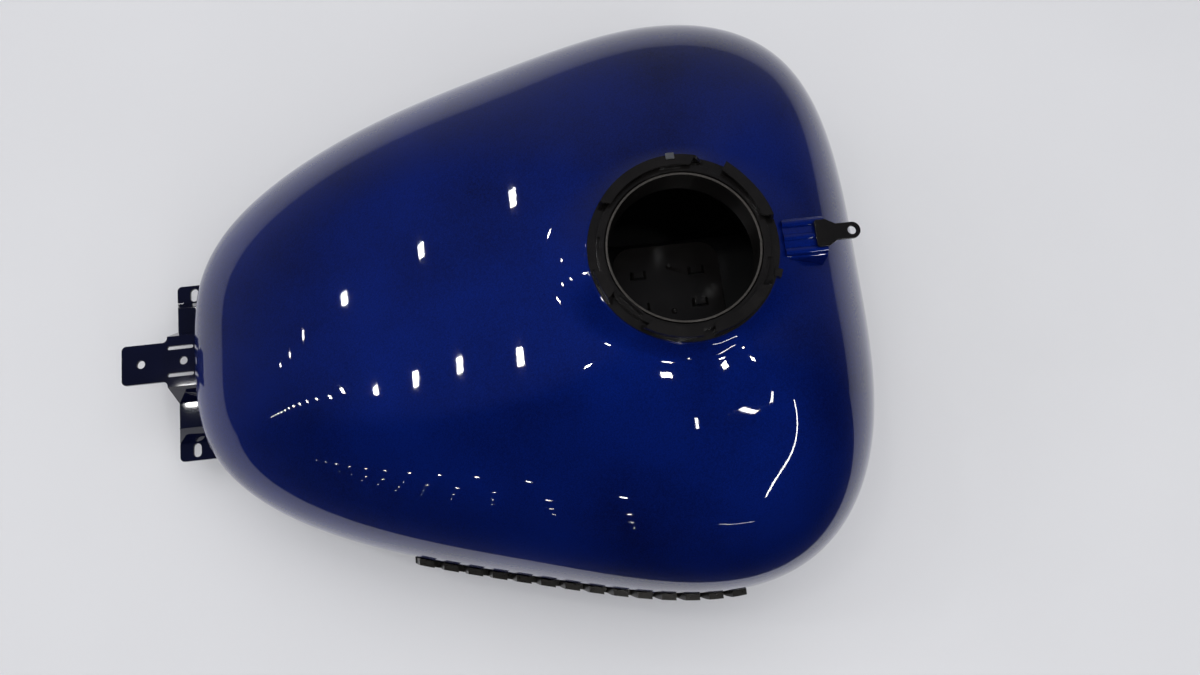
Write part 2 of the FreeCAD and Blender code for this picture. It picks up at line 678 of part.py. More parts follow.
def rear_bracket(body):
    upper = bracket_profile(0)
    lower = bracket_profile(-REAR_SHEET)
    top_side = [(-y, z) for y, z in reversed(upper[1:])] + upper
    outline = top_side + list(reversed(lower)) + [(-y, z) for y, z in lower[1:]]
    fold = Part.makePolygon([V(TONGUE_END, y, z) for y, z in outline + outline[:1]])
    fore = SHELL_REAR + BRACKET_LAP
    strip = Part.Face(fold).extrude(V(fore - TONGUE_END, 0, 0))
    tongue, foot = TONGUE_WIDTH / 2, STEP_HALF + EAR_RISE_RUN
    waist, ear = SHELL_REAR - WAIST_REACH, SHELL_REAR - EAR_REACH
    left = [(fore, EAR_HALF), (ear, EAR_HALF), (ear, foot),
            (waist, STEP_HALF), (waist, tongue), (TONGUE_END, tongue)]
    corners = [V(x, -y, 0) for x, y in reversed(left)] + [V(x, y, 0) for x, y in left]
    rounded = [TONGUE_CORNER_R] * 5
    bracket = strip.common(plate(corners, rounded + [0, 0] + rounded, V(0, 0, REACH)))
    for k in range(2):
        hole = V(TONGUE_END + TONGUE_HOLE_INSET + k * TONGUE_HOLE_SPACING, 0, TOP_Z - SLOT_CUTTER / 2)
        bracket = bracket.cut(Part.makeCylinder(TONGUE_HOLE_R, SLOT_CUTTER, hole))
    for side in (-1, 1):
        ear_y, root_y = side * EAR_SLOT_HALF, side * ROOT_SLOT_HALF
        bracket = bracket.cut(slot(EAR_SLOT_X, ear_y, EAR_SLOT_LENGTH, EAR_SLOT_WIDTH, EAR_Z, True))
        bracket = bracket.cut(slot(ROOT_SLOT_X, root_y, ROOT_SLOT_LENGTH, ROOT_SLOT_WIDTH, TOP_Z))
    return bracket.cut(body)


def tunnel_half_at(z):
    """Half the width between the tunnel's inner faces at a height."""
    slope = (TUNNEL_BASE_HALF - TUNNEL_TOP_HALF) / (TUNNEL_FLAT_Z + SEAM_OVERRUN)
    return TUNNEL_BASE_HALF - PAN_SHEET - slope * (z + SEAM_OVERRUN)


def mount_hole_at():
    """Centre of the left mount hole, on the underside of its shelf."""
    lining = tunnel_half_at(MOUNT_SHELF_Z + MOUNT_SHEET + GROMMET_LIP) - MOUNT_SHEET
    return V(SHELL_FRONT - MOUNT_HOLE_INSET, lining - MOUNT_HOLE_EDGE - GROMMET_OUTER_R, MOUNT_SHELF_Z)


def front_bracket(bore):
    """A shelf with a mount hole, held to the tunnel wall by a lining welded along it."""
    hole = mount_hole_at()
    rear, front = hole.x - MOUNT_LENGTH / 2, hole.x + MOUNT_LENGTH / 2
    inner = hole.y - GROMMET_OUTER_R - MOUNT_HOLE_EDGE
    strip = Part.makeBox(MOUNT_LENGTH, TUNNEL_BASE_HALF, MOUNT_HEIGHT, V(rear, 0, MOUNT_SHELF_Z))
    lining = bore.common(strip).cut(tunnel_block(PAN_SHEET + MOUNT_SHEET))
    outer = TUNNEL_BASE_HALF
    corners = [V(x, y, hole.z) for x, y in ((rear, inner), (front, inner), (front, outer), (rear, outer))]
    shelf = plate(corners, [MOUNT_CORNER_R, MOUNT_CORNER_R, 0, 0], V(0, 0, MOUNT_SHEET)).common(bore)
    return shelf.fuse(lining).cut(Part.makeCylinder(GROMMET_NECK_R, MOUNT_SHEET, hole)).removeSplitter()


def turned_on_mount(profile):
    """A solid turned about the mount hole, from (radius, height above the shelf's underside) corners."""
    hole = mount_hole_at()
    corners = [V(hole.x + radius, hole.y, hole.z + rise) for radius, rise in profile]
    face = Part.Face(Part.makePolygon(corners + corners[:1]))
    return face.revolve(hole, V(0, 0, 1), 360)


def grommet():
    low, high, bevel = -GROMMET_LIP, MOUNT_SHEET + GROMMET_LIP, GROMMET_BEVEL
    outer, neck = GROMMET_OUTER_R, GROMMET_NECK_R
    return turned_on_mount([
        (SLEEVE_OUTER_R, low), (outer - bevel, low), (outer, low + bevel), (outer, 0), (neck, 0),
        (neck, MOUNT_SHEET), (outer, MOUNT_SHEET), (outer, high - bevel), (outer - bevel, high),
        (SLEEVE_OUTER_R, high)])


def sleeve():
    low, high = -GROMMET_LIP - SLEEVE_PROUD, MOUNT_SHEET + GROMMET_LIP + SLEEVE_PROUD
    bore, outer = SLEEVE_BORE_R, SLEEVE_OUTER_R
    return turned_on_mount([(bore, low), (outer, low), (outer, high), (bore, high)])


def front_peg(body):
    """A headed peg welded to the shell's nose, for a trim clip or hose."""
    tip = SHELL_FRONT + PEG_PROUD
    inside = SHELL_FRONT - PEG_SUNK
    shank = Part.makeCylinder(PEG_R, tip - inside, V(inside, PEG_Y, PEG_Z), V(1, 0, 0))
    head = Part.makeCylinder(PEG_HEAD_R, PEG_HEAD, V(tip - PEG_HEAD, PEG_Y, PEG_Z), V(1, 0, 0))
    return shank.fuse(head).cut(body)


def seam_half_at(x):
    """Half the width of the bottom seam at a place along the tank."""
    rim = [tuck_point(edge, 1.0) for edge in plan_outline()]
    seam = sorted((point.x, point.y) for point in rim if point.y > 0)
    behind = max(place for place in seam if place[0] <= x)
    ahead = min(place for place in seam if place[0] > x)
    return behind[1] + (ahead[1] - behind[1]) * (x - behind[0]) / (ahead[0] - behind[0])


def baffle():
    """A pierced plate across the left lobe with a foot welded to the pan."""
    inner, low = TUNNEL_BASE_HALF + BAFFLE_OFFSET, PAN_SHEET
    width = seam_half_at(BAFFLE_X) - BAFFLE_GAP - inner
    high = low + BAFFLE_HEIGHT
    corners = [V(BAFFLE_X, inner, low), V(BAFFLE_X, inner + width, low),
               V(BAFFLE_X, inner + width, high), V(BAFFLE_X, inner, high)]
    wall = plate(corners, [0, 0, BAFFLE_CORNER_R, BAFFLE_CORNER_R], V(BAFFLE_SHEET, 0, 0))
    foot = Part.makeBox(BAFFLE_FOOT, width, BAFFLE_SHEET, V(BAFFLE_X, inner, low))
    middle = V(BAFFLE_X, inner + width / 2, low + BAFFLE_HEIGHT / 2)
    hole = Part.makeCylinder(BAFFLE_HOLE_R, BAFFLE_SHEET, middle, V(1, 0, 0))
    return wall.fuse(foot).cut(hole).removeSplitter()


def trim_prism(rear, width, low, height, slant):
    """A slanted block through the left flank, as seen from the side."""
    y, top, front = SHELL_WIDTH / 4, low + height, rear + width
    corners = [V(rear, y, low), V(front, y, low), V(front + slant, y, top), V(rear + slant, y, top)]
    return Part.Face(Part.makePolygon(corners + corners[:1])).extrude(V(0, SHELL_WIDTH, 0))


def trim_length():
    return (TRIM_BARS - 1) * TRIM_PITCH + TRIM_BAR_WIDTH


def side_trim(layer):
    """Slanted raised bars on a thin rail, following the flank."""
    blank = trim_prism(TRIM_REAR, trim_length(), TRIM_LOW_Z, TRIM_RAIL_HEIGHT, 0)
    for k in range(TRIM_BARS):
        rear = TRIM_REAR + k * TRIM_PITCH
        blank = blank.fuse(trim_prism(rear, TRIM_BAR_WIDTH, TRIM_LOW_Z, TRIM_HEIGHT, TRIM_SLANT))
    return layer.common(blank)


def trim_tape(layer):
    """The foam strip behind the trim's rail, set back from its edges."""
    inset = TRIM_TAPE_INSET
    length, height = trim_length() - 2 * inset, TRIM_RAIL_HEIGHT - inset
    return layer.common(trim_prism(TRIM_REAR + inset, length, TRIM_LOW_Z + inset / 2, height, 0))


def one_solid(shape):
    """The shape's single solid, or a group when it is several."""
    solids = [solid for solid in shape.Solids if solid.Volume > 1.0]
    return solids[0] if len(solids) == 1 else Part.makeCompound(solids)


def main():
    body, hollow, tape_body, trim_body = bodies_at([0.0, -SHELL_SHEET, TRIM_TAPE, TRIM_TAPE + TRIM_DEPTH])
    block, bore = tunnel_block(0.0), tunnel_block(PAN_SHEET)
    bracket = front_bracket(bore)
    peg = front_peg(body)
    trim = side_trim(trim_body.cut(tape_body))
    tape = trim_tape(tape_body.cut(body))
    lobe_baffle = baffle()
    pieces = {
        "outer_shell": outer_shell(body, hollow, block),
        "tunnel_pan": tunnel_pan(body, hollow, block, bore),
        "neck_ring": neck_ring(),
        "hook_ring": hook_ring(),
        "locator_tab": locator_tab(),
        "lock_ring": lock_ring(),
        "pump_foot_plate": foot_plate(),
        "front_saddle": front_saddle(body),
        "front_tab": front_tab(),
        "rear_bracket": rear_bracket(body),
        "front_bracket_left": bracket,
        "front_bracket_right": mirrored(bracket),
        "grommet_left": grommet(),
        "grommet_right": mirrored(grommet()),
        "mount_sleeve_left": sleeve(),
        "mount_sleeve_right": mirrored(sleeve()),
        "front_peg_left": peg,
        "front_peg_right": mirrored(peg),
        "baffle_left": lobe_baffle,
        "baffle_right": mirrored(lobe_baffle),
        "side_trim_left": trim,
        "side_trim_right": mirrored(trim),
        "trim_tape_left": tape,
        "trim_tape_right": mirrored(tape),
    }
    middle = (SHELL_FRONT + PEG_PROUD + TONGUE_END) / 2
    os.makedirs("parts", exist_ok=True)
    for name, shape in pieces.items():
        solid = one_solid(shape)
        solid.translate(V(-middle, 0, 0))
        box = solid.BoundBox
        print(f"{name:20s} solids {len(solid.Solids)} valid {solid.isValid()} volume {solid.Volume:10.0f}")
        print(f"{'':20s} x {box.XMin:7.1f} {box.XMax:7.1f}  y {box.YMin:7.1f} {box.YMax:7.1f}"
              f"  z {box.ZMin:7.1f} {box.ZMax:7.1f}")
        solid.exportStep(f"parts/{name}.step")


main()
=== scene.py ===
"""The looks of a motorcycle fuel tank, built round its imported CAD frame. Metres, +X to the tank's front,
+Y to the rider's left, +Z up, with z = 0 on the bottom seam."""
import json
import math

import bmesh
import bpy
from mathutils import Matrix, Vector


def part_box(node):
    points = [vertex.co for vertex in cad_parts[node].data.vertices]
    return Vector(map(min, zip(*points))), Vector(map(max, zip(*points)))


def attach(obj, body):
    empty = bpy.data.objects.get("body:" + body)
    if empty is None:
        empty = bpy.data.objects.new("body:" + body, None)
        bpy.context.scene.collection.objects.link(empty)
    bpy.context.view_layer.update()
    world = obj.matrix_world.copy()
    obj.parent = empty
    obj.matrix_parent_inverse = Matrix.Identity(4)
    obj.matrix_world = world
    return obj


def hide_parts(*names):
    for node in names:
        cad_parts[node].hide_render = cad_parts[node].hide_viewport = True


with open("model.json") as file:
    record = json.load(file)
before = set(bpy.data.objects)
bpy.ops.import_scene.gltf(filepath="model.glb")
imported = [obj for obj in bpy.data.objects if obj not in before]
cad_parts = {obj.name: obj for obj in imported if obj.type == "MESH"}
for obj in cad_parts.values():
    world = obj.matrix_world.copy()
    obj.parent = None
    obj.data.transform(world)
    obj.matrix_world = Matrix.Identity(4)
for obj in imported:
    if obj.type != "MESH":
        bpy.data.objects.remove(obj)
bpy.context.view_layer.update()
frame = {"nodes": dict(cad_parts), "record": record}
scene = bpy.context.scene


# Camera. A hand-held phone, about 0.9 m above the bench, held a little off level and aimed at the middle of
# the tank. Its lens is given for a full-frame sensor, and colours are shown as they are, with no film curve.
CAMERA_EYE = Vector((0.0484, -0.2017, 0.8891))
CAMERA_AIM = Vector((0.0958, 0.0007, 0.0))
CAMERA_ROLL = math.radians(6.78)
CAMERA_LENS = 28.66
CAMERA_SENSOR = 36.0
CAMERA_NEAR = 0.02

camera = bpy.data.objects.new("camera", bpy.data.cameras.new("camera"))
camera.data.lens = CAMERA_LENS
camera.data.sensor_width = CAMERA_SENSOR
camera.data.clip_start = CAMERA_NEAR
level = (CAMERA_AIM - CAMERA_EYE).to_track_quat("-Z", "Y").to_matrix()
camera.matrix_world = Matrix.Translation(CAMERA_EYE) @ (level @ Matrix.Rotation(CAMERA_ROLL, 3, "Z")).to_4x4()
scene.collection.objects.link(camera)
scene.camera = camera
scene.view_settings.view_transform = "Standard"


# Bench. The board that the tank lies on, faced with a sheet of pale matt laminate, and wider than the view.
# It stages the tank and isn't part of it.
BENCH_HALF = 3.0
LAMINATE = "#DADADC"
LAMINATE_SHADE = "#D2D2D4"
MOTTLE_SIZE = 0.333


def linear(hex_colour):
    """An sRGB hex colour as the linear RGBA that sockets take."""
    parts = [int(hex_colour[k:k + 2], 16) / 255 for k in (1, 3, 5)]
    return tuple(c / 12.92 if c <= 0.04045 else ((c + 0.055) / 1.055) ** 2.4 for c in parts) + (1.0,)


def new_material(name):
    """A material with a Principled shader, and that shader."""
    material = bpy.data.materials.new(name)
    material.use_nodes = True
    return material, material.node_tree.nodes["Principled BSDF"]


def add_node(material, kind, settings=None, inputs=None):
    """A node of a kind with its settings, its socket values and its links from other nodes' outputs."""
    node = material.node_tree.nodes.new(kind)
    for name, value in (settings or {}).items():
        setattr(node, name, value)
    for name, value in (inputs or {}).items():
        if isinstance(value, bpy.types.NodeSocket):
            material.node_tree.links.new(value, node.inputs[name])
        else:
            node.inputs[name].default_value = value
    return node


def set_shader(material, shader, **inputs):
    """Sets or links the shader's sockets, named with underscores for spaces."""
    for name, value in inputs.items():
        socket = shader.inputs[name.replace("_", " ")]
        if isinstance(value, bpy.types.NodeSocket):
            material.node_tree.links.new(value, socket)
        else:
            socket.default_value = value


def new_piece(name, bm, *materials):
    """An object at the origin made from a finished bmesh."""
    mesh = bpy.data.meshes.new(name)
    bm.to_mesh(mesh)
    bm.free()
    for material in materials:
        mesh.materials.append(material)
    piece = bpy.data.objects.new(name, mesh)
    scene.collection.objects.link(piece)
    return piece


laminate, shader = new_material("laminate_matt")
# Even off-white with a dull sheen, and faint patches a forearm across where it has been wiped and worn.
place = add_node(laminate, "ShaderNodeTexCoord").outputs["Object"]
mottle = add_node(laminate, "ShaderNodeTexNoise",
                  inputs={"Vector": place, "Scale": 1 / MOTTLE_SIZE, "Detail": 3.0})
tone = add_node(laminate, "ShaderNodeMix", {"data_type": "RGBA"},
                {"Factor": mottle.outputs["Fac"], "A": linear(LAMINATE), "B": linear(LAMINATE_SHADE)})
set_shader(laminate, shader, Base_Color=tone.outputs["Result"], Roughness=0.62)

bm = bmesh.new()
bmesh.ops.create_grid(bm, x_segments=2, y_segments=2, size=BENCH_HALF)
bench = new_piece("bench", bm, laminate)


# Light. A shed roof, dark between rows of small lamps and three slots of daylight, and one broad soft light
# that the paint doesn't mirror. A black sheet to the tank's right is seen only in the paint. It is a painted
# dark reflection along that flank, where no dark floor lies.
ROOF_Z = 2.0
LAMP_SIZE = (0.055, 0.05)
LAMP_POWER = 1.1
# Each row: its first lamp, the step to the next one, and how many lamps it has.
LAMP_ROWS = [((-0.92, 0.85), (-0.92, 0.05), 6),
             ((-0.41, 0.14), (-0.58, 0.24), 2),
             ((-1.54, 0.44), (-0.46, 0.03), 4),
             ((-3.30, 0.42), (-0.50, -0.06), 12),
             ((0.25, -0.36), (0.0, 0.0), 1),
             ((-0.72, -3.30), (-0.82, -0.03), 11),
             ((-1.10, -5.20), (-0.90, 0.0), 10),
             ((-1.50, -7.20), (-1.20, 0.0), 8),
             ((-2.00, -9.80), (-1.60, 0.0), 6)]
# Each slot: where it starts and where it ends.
SLOTS = [((0.385, -0.84), (0.38, -0.99)),
         ((0.89, -0.98), (1.35, -3.50)),
         ((0.95, -6.20), (1.95, -6.90))]
SLOT_WIDTH = 0.03
SLOT_RADIANCE = 120.0
SOFT_SIDE = 2.4
SOFT_PLACE = (0.3, 0.1, 2.2)
SOFT_POWER = 31.0
DARK_REFLECTION_EDGE_Y = -0.37
DARK_REFLECTION_Z = 0.001
WALLS_START = -0.1
WALLS_END = 0.9


def add_lamp(name, place, size, power, mirrored=True, turn=0.0):
    """A flat lamp that shines straight down."""
    light = bpy.data.lights.new(name, "AREA")
    light.shape = "RECTANGLE"
    light.size, light.size_y = size
    light.energy = power
    lamp = bpy.data.objects.new(name, light)
    lamp.location = place
    lamp.rotation_euler.z = turn
    lamp.visible_glossy = mirrored
    scene.collection.objects.link(lamp)


for (first_x, first_y), (step_x, step_y), count in LAMP_ROWS:
    for k in range(count):
        add_lamp("roof_lamp", (first_x + k * step_x, first_y + k * step_y, ROOF_Z), LAMP_SIZE, LAMP_POWER)
for start, end in SLOTS:
    run = Vector(end) - Vector(start)
    middle = (Vector(start) + Vector(end)) / 2
    add_lamp("roof_slot", (middle.x, middle.y, ROOF_Z), (run.length, SLOT_WIDTH),
             SLOT_RADIANCE * run.length * SLOT_WIDTH, turn=math.atan2(run.y, run.x))
add_lamp("soft_light", SOFT_PLACE, (SOFT_SIDE, SOFT_SIDE), SOFT_POWER, mirrored=False)

dark_reflection_sheet, shader = new_material("painted_dark_reflection_sheet")
# Dead black with no sheen at all, so that the paint above it mirrors darkness: a painted dark reflection.
set_shader(dark_reflection_sheet, shader, Base_Color=linear("#0C0C0D"), Roughness=1.0, Specular_IOR_Level=0.0)
bm = bmesh.new()
bmesh.ops.create_grid(bm, x_segments=1, y_segments=1, size=BENCH_HALF)
bmesh.ops.translate(bm, verts=bm.verts, vec=(0.0, DARK_REFLECTION_EDGE_Y - BENCH_HALF, DARK_REFLECTION_Z))
flag = new_piece("dark_reflection_flag", bm, dark_reflection_sheet)
flag.visible_camera = flag.visible_diffuse = flag.visible_shadow = False

world = bpy.data.worlds.new("shed")
world.use_nodes = True
scene.world = world
background = world.node_tree.nodes["Background"]
# The shed's air is pale to the eye. In the paint the walls show instead: near black to the tank's right and
# grey to its left.
look = add_node(world, "ShaderNodeTexCoord").outputs["Generated"]
across = add_node(world, "ShaderNodeSeparateXYZ", inputs={"Vector": look}).outputs["Y"]
far = add_node(world, "ShaderNodeMapRange",
               inputs={"Value": across, "From Min": WALLS_START, "From Max": WALLS_END})
walls = add_node(world, "ShaderNodeMix", {"data_type": "RGBA"},
                 {"Factor": far.outputs["Result"], "A": linear("#16171B"), "B": linear("#74767E")})
in_paint = add_node(world, "ShaderNodeLightPath").outputs["Is Glossy Ray"]
air = add_node(world, "ShaderNodeMix", {"data_type": "RGBA"},
               {"Factor": in_paint, "A": linear("#B4B5B9"), "B": walls.outputs["Result"]})
world.node_tree.links.new(air.outputs["Result"], background.inputs["Color"])


# Outer shell. Deep-drawn 1.2 mm steel in a teardrop with a raised land round the neck, seam-welded to the pan
# all round its foot. It is painted pearl blue under a thick clear coat, and rust-proofed inside.
shell_low, shell_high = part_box("outer_shell")
mounts = {mount["name"]: mount for mount in frame["record"]["mounts"]}
NECK_X = mounts["neck_bore"]["pos_m"][0]
SHELL_SHEET = 0.0012
SHELL_MIDDLE = (shell_high.x + shell_low.x) / 2
SHELL_HALF = (shell_high.x - shell_low.x) / 2
SHELL_HALF_WIDTH = shell_high.y
FRONT_SQUARENESS = 2.85
REAR_SQUARENESS = 3.2
PLAN_TAPER = 0.345
PLAN_BULGE = 0.03
SHELL_REAR = 0.012
DATUM_X = shell_low.x - SHELL_REAR
SHELL_LENGTH = shell_high.x - DATUM_X
REAR_WIDEST_Z = 0.078
FRONT_WIDEST_Z = 0.104
REAR_CROWN_Z = 0.130
FRONT_CROWN_Z = 0.252
CROWN_X = 0.422
CROWN_RISE_POWER = 1.2
CROWN_FALL = 0.9
SHOULDER_REAR = 0.125
SHOULDER_SIDE = 0.240
SHOULDER_FRONT = 0.105
# From the rear end, the shoulder's radius grows to its full size over this part of the shell's length.
SHOULDER_GROWN_AT = 1 / 1.3
SHOULDER_POWER = 2.4
NECK_LAND_Z = 0.254
NECK_HOLE_R = 0.064
NECK_LAND_R = 0.0685
FLARE_AT_SIDES = 0.013
FLARE_AT_ENDS = 0.034
FLARE_TURN_POWER = 3
FLARE_POWER = 2.4
TUCK_ENDS = 0.050
TUCK_SIDES = 0.080
TUCK_SWEEP = math.radians(68.0)
OUTLINE_STEPS = 4800
SHELL_COLUMNS = 264
SHOULDER_RINGS = 44
BOSS_RINGS = 14
TUCK_RINGS = 16
# Rings of faces crowd towards the land and towards the widest outline, where the sheet bends most.
BOSS_CROWDING = 1.3
SHOULDER_CROWDING = 1.25
EDGE_CROWDING = 2.2
SHARP_ANGLE = math.radians(32.0)


def signed_power(value, power):
    """A power of the value's size, with the value's sign."""
    return math.copysign(abs(value) ** power, value)


def plan_outline():
    """Points evenly spaced round the widest outline, each with how far it faces forward."""
    fine = []
    for k in range(OUTLINE_STEPS):
        turn = 2 * math.pi * (k + 0.5) / OUTLINE_STEPS
        c, s = math.cos(turn), math.sin(turn)
        square = FRONT_SQUARENESS if c > 0 else REAR_SQUARENESS
        along = signed_power(c, 2 / square)
        swell = 1 + PLAN_TAPER * along + PLAN_BULGE * along * along
        fine.append((along, signed_power(s, 2 / square) * swell))
    widest = max(across for _, across in fine)
    line = [Vector((SHELL_MIDDLE + SHELL_HALF * a, b * SHELL_HALF_WIDTH / widest)) for a, b in fine]
    steps = [(line[k] - line[k - 1]).length for k in range(OUTLINE_STEPS)]
    pitch = sum(steps) / SHELL_COLUMNS
    walked = 0.0
    edges = []
    for k, step in enumerate(steps):
        while len(edges) < SHELL_COLUMNS and walked + step >= pitch * (len(edges) + 0.5):
            edges.append(line[k - 1].lerp(line[k], (pitch * (len(edges) + 0.5) - walked) / step))
        walked += step
    runs = [edges[(k + 1) % SHELL_COLUMNS] - edges[k - 1] for k in range(SHELL_COLUMNS)]
    return [(edge, run.y / run.length) for edge, run in zip(edges, runs)]


def flare_width(edge):
    """The flare round the neck's land, wider ahead of it and behind it, where the top falls away."""
    lengthwise = abs(edge.x - NECK_X) / math.hypot(edge.x - NECK_X, edge.y)
    return FLARE_AT_SIDES + (FLARE_AT_ENDS - FLARE_AT_SIDES) * lengthwise ** FLARE_TURN_POWER


def widest_z(x):
    """The height of the widest outline, which climbs towards the front."""
    return REAR_WIDEST_Z + (FRONT_WIDEST_Z - REAR_WIDEST_Z) * (x - DATUM_X) / SHELL_LENGTH


def top_point(edge, facing, inward):
    """A point of the shell's top, at a distance inward from the outline towards the neck."""
    away = math.hypot(edge.x - NECK_X, edge.y)
    share = inward / away
    x, y = edge.x + (NECK_X - edge.x) * share, edge.y * (1 - share)
    along = x - DATUM_X
    rise = math.sin(min(max(along / CROWN_X, 0.0), 1.0) * math.pi / 2) ** CROWN_RISE_POWER
    crown = REAR_CROWN_Z + (FRONT_CROWN_Z - REAR_CROWN_Z) * rise - CROWN_FALL * max(0.0, along - CROWN_X) ** 2
    grown = min(1.0, (edge.x - DATUM_X) / (SHOULDER_GROWN_AT * SHELL_LENGTH))
    ahead = max(0.0, facing) ** 2
    radius = (SHOULDER_REAR + (SHOULDER_SIDE - SHOULDER_REAR) * grown) * (1 - ahead) + SHOULDER_FRONT * ahead
    lift = (1 - (1 - min(1.0, inward / radius)) ** SHOULDER_POWER) ** (1 / SHOULDER_POWER)
    low = widest_z(edge.x)
    z = low + (crown - low) * lift
    boss = min(1.0, max(0.0, 1 - (away - inward - NECK_LAND_R) / flare_width(edge))) ** FLARE_POWER
    return Vector((x, y, z + (NECK_LAND_Z - z) * boss))


def tuck_point(edge, share):
    """A point below the outline, curling in to the bottom seam at share 1."""
    sweep = TUCK_SWEEP * share
    inset = (1 - math.cos(sweep)) / (1 - math.cos(TUCK_SWEEP))
    x = SHELL_MIDDLE + (edge.x - SHELL_MIDDLE) * (1 - TUCK_ENDS / SHELL_HALF * inset)
    y = edge.y * (1 - TUCK_SIDES / SHELL_HALF_WIDTH * inset)
    return Vector((x, y, widest_z(edge.x) * (1 - math.sin(sweep) / math.sin(TUCK_SWEEP))))


def shell_column(edge, facing):
    """Points from the neck hole, over the shoulder and down to the bottom seam."""
    away = math.hypot(edge.x - NECK_X, edge.y)
    radii = [NECK_HOLE_R, (NECK_HOLE_R + NECK_LAND_R) / 2]
    flare = flare_width(edge)
    radii += [NECK_LAND_R + flare * (k / BOSS_RINGS) ** BOSS_CROWDING for k in range(BOSS_RINGS + 1)]
    points = [top_point(edge, facing, away - radius) for radius in radii]
    flare_edge = away - radii[-1]
    for k in range(1, SHOULDER_RINGS + 1):
        left = 1 - (k / SHOULDER_RINGS) ** SHOULDER_CROWDING
        points.append(top_point(edge, facing, flare_edge * left ** EDGE_CROWDING))
    return points + [tuck_point(edge, k / TUCK_RINGS) for k in range(1, TUCK_RINGS + 1)]


def extrude_ring(bm, ring):
    """The ring of vertices drawn out from another, in the same order."""
    edges = [bm.edges.get((ring[k - 1], ring[k])) for k in range(len(ring))]
    made = bmesh.ops.extrude_edge_only(bm, edges=edges)["geom"]
    new = {item for item in made if isinstance(item, bmesh.types.BMVert)}
    return [next(e.other_vert(v) for e in v.link_edges if e.other_vert(v) in new) for v in ring]


def add_modifier(piece, kind, **settings):
    """A modifier of a kind with its settings."""
    modifier = piece.modifiers.new(kind.lower(), kind)
    for name, value in settings.items():
        setattr(modifier, name, value)


def bake_modifiers(piece):
    """Replaces the piece's mesh with the one its modifiers make."""
    finished = bpy.data.meshes.new_from_object(piece.evaluated_get(bpy.context.evaluated_depsgraph_get()))
    piece.modifiers.clear()
    piece.data = finished


def shade(piece, angle=SHARP_ANGLE):
    """Smooth shading that stays sharp at edges steeper than an angle."""
    piece.data.shade_smooth()
    piece.data.set_sharp_from_angle(angle=angle)


PAINT_DEEP = "#040A34"
PAINT_PEARL = "#07227A"
FLAKE_SIZE = 0.0007
FLAKE_SHARE = 0.35
CLOUD_SIZE = 0.111
PEEL_SIZE = 0.006
RELIEF = 0.00002
SPRAY_SIZE = 0.00385
SPRAY_DEPTH = 0.0001

blue_paint, shader = new_material("pearl_blue_basecoat_under_clearcoat")
# A deep blue that glows where flakes face the light, under a wet-looking clear coat with a trace of orange
# peel. Real flakes are about 0.05 mm, too fine to show, so they are drawn at 0.7 mm.
place = add_node(blue_paint, "ShaderNodeTexCoord").outputs["Object"]
flakes = add_node(blue_paint, "ShaderNodeTexVoronoi", inputs={"Vector": place, "Scale": 1 / FLAKE_SIZE})
cloud = add_node(blue_paint, "ShaderNodeTexNoise",
                 inputs={"Vector": place, "Scale": 1 / CLOUD_SIZE, "Detail": 4.0})
glint = add_node(blue_paint, "ShaderNodeMath", {"operation": "MULTIPLY_ADD"},
                 {0: flakes.outputs["Color"], 1: FLAKE_SHARE, 2: cloud.outputs["Fac"]})
span = add_node(blue_paint, "ShaderNodeMapRange",
                inputs={"Value": glint.outputs["Value"], "From Min": 0.3, "From Max": 1.1})
blue = add_node(blue_paint, "ShaderNodeMix", {"data_type": "RGBA"},
                {"Factor": span.outputs["Result"], "A": linear(PAINT_DEEP), "B": linear(PAINT_PEARL)})
tilt = add_node(blue_paint, "ShaderNodeBump",
                inputs={"Height": flakes.outputs["Distance"], "Distance": RELIEF})
peel = add_node(blue_paint, "ShaderNodeTexNoise",
                inputs={"Vector": place, "Scale": 1 / PEEL_SIZE, "Detail": 1.0})
skin = add_node(blue_paint, "ShaderNodeBump",
                inputs={"Height": peel.outputs["Fac"], "Distance": RELIEF, "Strength": 0.3})
set_shader(blue_paint, shader, Base_Color=blue.outputs["Result"], Metallic=0.55, Roughness=0.42,
           Specular_IOR_Level=0.0, Normal=tilt.outputs["Normal"], Coat_Weight=1.0, Coat_Roughness=0.02,
           Coat_IOR=1.5, Coat_Normal=skin.outputs["Normal"])

black_inside, shader = new_material("black_rust_proofing_sprayed")
# Tarry black with a half-dull sheen, a little uneven where the sprayed drops have run together.
place = add_node(black_inside, "ShaderNodeTexCoord").outputs["Object"]
spray = add_node(black_inside, "ShaderNodeTexNoise",
                 inputs={"Vector": place, "Scale": 1 / SPRAY_SIZE, "Detail": 3.0})
tone = add_node(black_inside, "ShaderNodeMix", {"data_type": "RGBA"},
                {"Factor": spray.outputs["Fac"], "A": linear("#060607"), "B": linear("#0E0E0F")})
grain = add_node(black_inside, "ShaderNodeBump",
                 inputs={"Height": spray.outputs["Fac"], "Distance": SPRAY_DEPTH})
set_shader(black_inside, shader, Base_Color=tone.outputs["Result"], Roughness=0.5,
           Normal=grain.outputs["Normal"])

bm = bmesh.new()
columns = [shell_column(edge, facing) for edge, facing in plan_outline()]
ring = bmesh.ops.create_circle(bm, segments=SHELL_COLUMNS, radius=NECK_HOLE_R)["verts"]
for row, level_points in enumerate(zip(*columns)):
    if row:
        ring = extrude_ring(bm, ring)
    for vertex, point in zip(ring, level_points):
        vertex.co = point
bmesh.ops.recalc_face_normals(bm, faces=bm.faces)
shell = new_piece("outer_shell_skin", bm, blue_paint, black_inside)
add_modifier(shell, "SOLIDIFY", thickness=SHELL_SHEET, offset=-1, material_offset=1)

